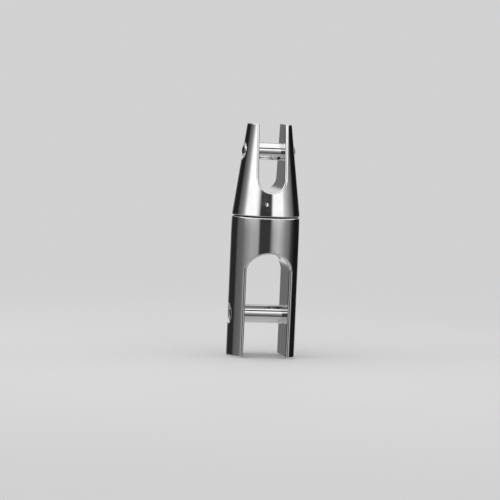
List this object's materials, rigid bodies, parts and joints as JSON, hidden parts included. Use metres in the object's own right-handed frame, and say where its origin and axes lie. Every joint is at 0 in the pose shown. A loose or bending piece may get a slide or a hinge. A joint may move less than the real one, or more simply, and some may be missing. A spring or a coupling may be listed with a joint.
{
  "type": "anchor swivel",
  "caption": "Polished stainless double-jaw swivel joining an anchor's shank to its chain: wide forked end, tapered forked end, cross pins and a turning joint between.",
  "frame": {"origin": "on the swivel's axis, level with the two tips of the wide anchor fork", "axes": "+Z along the swivel's axis from the anchor fork to the chain fork; both clevis pins lie along X, the anchor pin's key socket towards -X and the chain pin's towards +X; both jaws are open through along Y"},
  "size_m": [0.0356, 0.0356, 0.12],
  "materials": {
    "polished_steel": "mirror-polished 316 stainless steel with fine polishing lines",
    "pin_steel": "bright drawn 316 stainless steel rod",
    "turned_steel": "turned 316 stainless steel",
    "screw_steel": "plain stainless steel set screw",
    "bronze": "machined bearing bronze",
    "acetal": "black acetal"
  },
  "bodies": {
    "anchor_end": {"anchor_fork": "polished_steel", "shank_bush": "bronze", "face_thrust_washer": "acetal", "anchor_pin_lock_screw": "screw_steel"},
    "chain_end": {"chain_fork": "polished_steel", "swivel_stud": "turned_steel", "stud_lock_pin": "pin_steel", "head_thrust_washer": "bronze", "chain_pin_lock_screw": "screw_steel"},
    "anchor_clevis": {"anchor_pin": "pin_steel"},
    "chain_clevis": {"chain_pin": "pin_steel"}
  },
  "joints": [
    {"name": "swivel", "type": "hinge", "parent": "anchor_end", "child": "chain_end", "pos_m": [0, 0, 0.0725], "axis": [0, 0, 1], "continuous": true},
    {"name": "anchor_pin_draw", "type": "slide", "parent": "anchor_end", "child": "anchor_clevis", "axis": [-1, 0, 0], "range_m": [0, 0.036]},
    {"name": "chain_pin_draw", "type": "slide", "parent": "chain_end", "child": "chain_clevis", "axis": [1, 0, 0], "range_m": [0, 0.029]}
  ]
}
